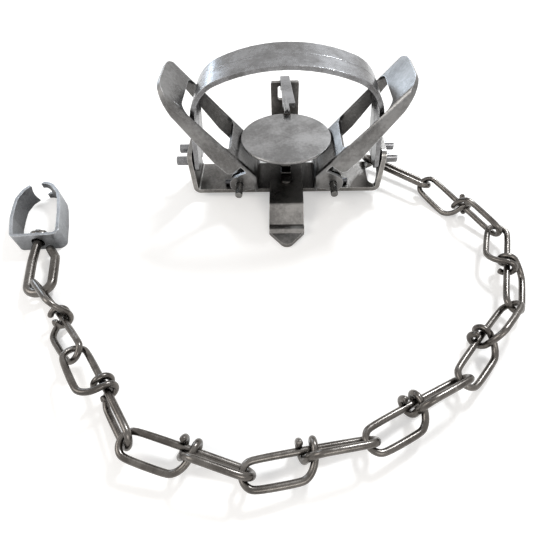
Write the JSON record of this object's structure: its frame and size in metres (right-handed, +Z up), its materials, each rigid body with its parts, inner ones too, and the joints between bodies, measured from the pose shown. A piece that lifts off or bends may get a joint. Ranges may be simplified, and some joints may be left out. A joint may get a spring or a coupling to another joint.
{
  "type": "coil spring trap",
  "caption": "Small steel foothold trap, sprung: curved jaws on a base plate held shut by levers on coil springs, with pan, dog, cross strap, and a wire chain ending in a swivel bracket",
  "frame": {"origin": "the middle of the base plate's underside", "axes": "+X towards the side where the chain leaves, along the base plate; +Y towards the dog's post, along the cross strap; +Z up"},
  "size_m": [0.2709, 0.2441, 0.0771],
  "materials": {
    "frame_steel": "tumbled satin steel, faintly warm grey, with fine pits and brighter edges",
    "lever_steel": "tumbled satin steel sheet",
    "bright_steel": "satin steel, brighter than the frame",
    "spring_steel": "smooth drawn spring wire",
    "chain_steel": "darker glossy drawn wire",
    "zinc_steel": "dull plated steel strip"
  },
  "bodies": {
    "frame": {"base_plate": "frame_steel", "cross_strap": "frame_steel", "strap_rivet_front": "frame_steel", "strap_rivet_rear": "frame_steel", "spring_pin_left": "spring_steel", "spring_pin_right": "spring_steel", "coil_spring_left": "spring_steel", "coil_spring_right": "spring_steel", "pan_post": "frame_steel", "pan_pin": "bright_steel"},
    "lever_left": {"lever_left": "lever_steel"},
    "lever_right": {"lever_right": "lever_steel"},
    "jaw_front": {"jaw_front": "bright_steel"},
    "jaw_rear": {"jaw_rear": "bright_steel"},
    "pan": {"pan": "lever_steel", "pan_shank": "lever_steel"},
    "dog": {"dog": "bright_steel"},
    "connector": {"connector": "chain_steel"},
    "link_1": {"chain_link_1": "chain_steel"},
    "link_2": {"chain_link_2": "chain_steel"},
    "link_3": {"chain_link_3": "chain_steel"},
    "link_4": {"chain_link_4": "chain_steel"},
    "link_5": {"chain_link_5": "chain_steel"},
    "link_6": {"chain_link_6": "chain_steel"},
    "link_7": {"chain_link_7": "chain_steel"},
    "link_8": {"chain_link_8": "chain_steel"},
    "swivel_eye": {"swivel_eye": "chain_steel"},
    "swivel_bracket": {"swivel_bracket": "zinc_steel"}
  },
  "joints": [
    {"name": "lever_left_press", "type": "hinge", "parent": "frame", "child": "lever_left", "pos_m": [-0.0265, 0, 0.0099], "axis": [0, -1, 0], "range_deg": [0, 58], "deforming": ["coil_spring_left"]},
    {"name": "lever_right_press", "type": "hinge", "parent": "frame", "child": "lever_right", "pos_m": [0.0265, 0, 0.0099], "axis": [0, 1, 0], "range_deg": [0, 58], "deforming": ["coil_spring_right"]},
    {"name": "jaw_front_open", "type": "hinge", "parent": "frame", "child": "jaw_front", "pos_m": [0, -0.0057, 0.0186], "axis": [1, 0, 0], "range_deg": [0, 26]},
    {"name": "jaw_rear_open", "type": "hinge", "parent": "frame", "child": "jaw_rear", "pos_m": [0, 0.0057, 0.0186], "axis": [-1, 0, 0], "range_deg": [0, 26]},
    {"name": "pan_tilt", "type": "hinge", "parent": "frame", "child": "pan", "pos_m": [0, 0.003, 0.0124], "axis": [-1, 0, 0], "range_deg": [0, 3.5]},
    {"name": "dog_swing", "type": "hinge", "parent": "frame", "child": "dog", "pos_m": [0, 0.07, 0.0236], "axis": [-0.9978, -0.0663, 0], "range_deg": [0, 190]},
    {"name": "connector_swing", "type": "hinge", "parent": "frame", "child": "connector", "pos_m": [0.0534, 0.0108, 0.0046], "axis": [0, 0, 1], "range_deg": [-4, 4]},
    {"name": "link_1_turn", "type": "hinge", "parent": "connector", "child": "link_1", "pos_m": [0.0812, -0.0114, 0.0036], "axis": [0, 0, 1], "range_deg": [-6, 12]},
    {"name": "link_2_turn", "type": "hinge", "parent": "link_1", "child": "link_2", "pos_m": [0.10858, -0.0488, 0.0041], "axis": [0, 0, 1], "range_deg": [-4, 20]},
    {"name": "link_3_turn", "type": "hinge", "parent": "link_2", "child": "link_3", "pos_m": [0.10076, -0.09449, 0.0041], "axis": [0, 0, 1], "range_deg": [-6, 20]},
    {"name": "link_4_turn", "type": "hinge", "parent": "link_3", "child": "link_4", "pos_m": [0.06957, -0.12877, 0.0041], "axis": [0, 0, 1], "range_deg": [-6, 20]},
    {"name": "link_5_turn", "type": "hinge", "parent": "link_4", "child": "link_5", "pos_m": [0.02951, -0.15209, 0.0041], "axis": [0, 0, 1], "range_deg": [-6, 12]},
    {"name": "link_6_turn", "type": "hinge", "parent": "link_5", "child": "link_6", "pos_m": [-0.01556, -0.16291, 0.0041], "axis": [0, 0, 1], "range_deg": [-4, 20]},
    {"name": "link_7_turn", "type": "hinge", "parent": "link_6", "child": "link_7", "pos_m": [-0.06063, -0.15209, 0.0049], "axis": [0, 0, 1], "range_deg": [-4, 20]},
    {"name": "link_8_turn", "type": "hinge", "parent": "link_7", "child": "link_8", "pos_m": [-0.0917, -0.1177, 0.0052], "axis": [0, 0, 1], "range_deg": [-6, 6]},
    {"name": "swivel_eye_turn", "type": "hinge", "parent": "link_8", "child": "swivel_eye", "pos_m": [-0.12162, -0.08229, 0.0025], "axis": [0, 0, 1], "range_deg": [-2, 6]},
    {"name": "swivel_spin", "type": "hinge", "parent": "swivel_eye", "child": "swivel_bracket", "pos_m": [-0.13392, -0.05149, 0.00224], "axis": [-0.061, 0.9981, -0.0082], "continuous": true}
  ],
  "couplings": [
    {"joint": "lever_right_press", "follows": "lever_left_press", "ratio": 1},
    {"joint": "jaw_front_open", "follows": "lever_left_press", "ratio": 0.44},
    {"joint": "jaw_rear_open", "follows": "lever_left_press", "ratio": 0.44}
  ]
}
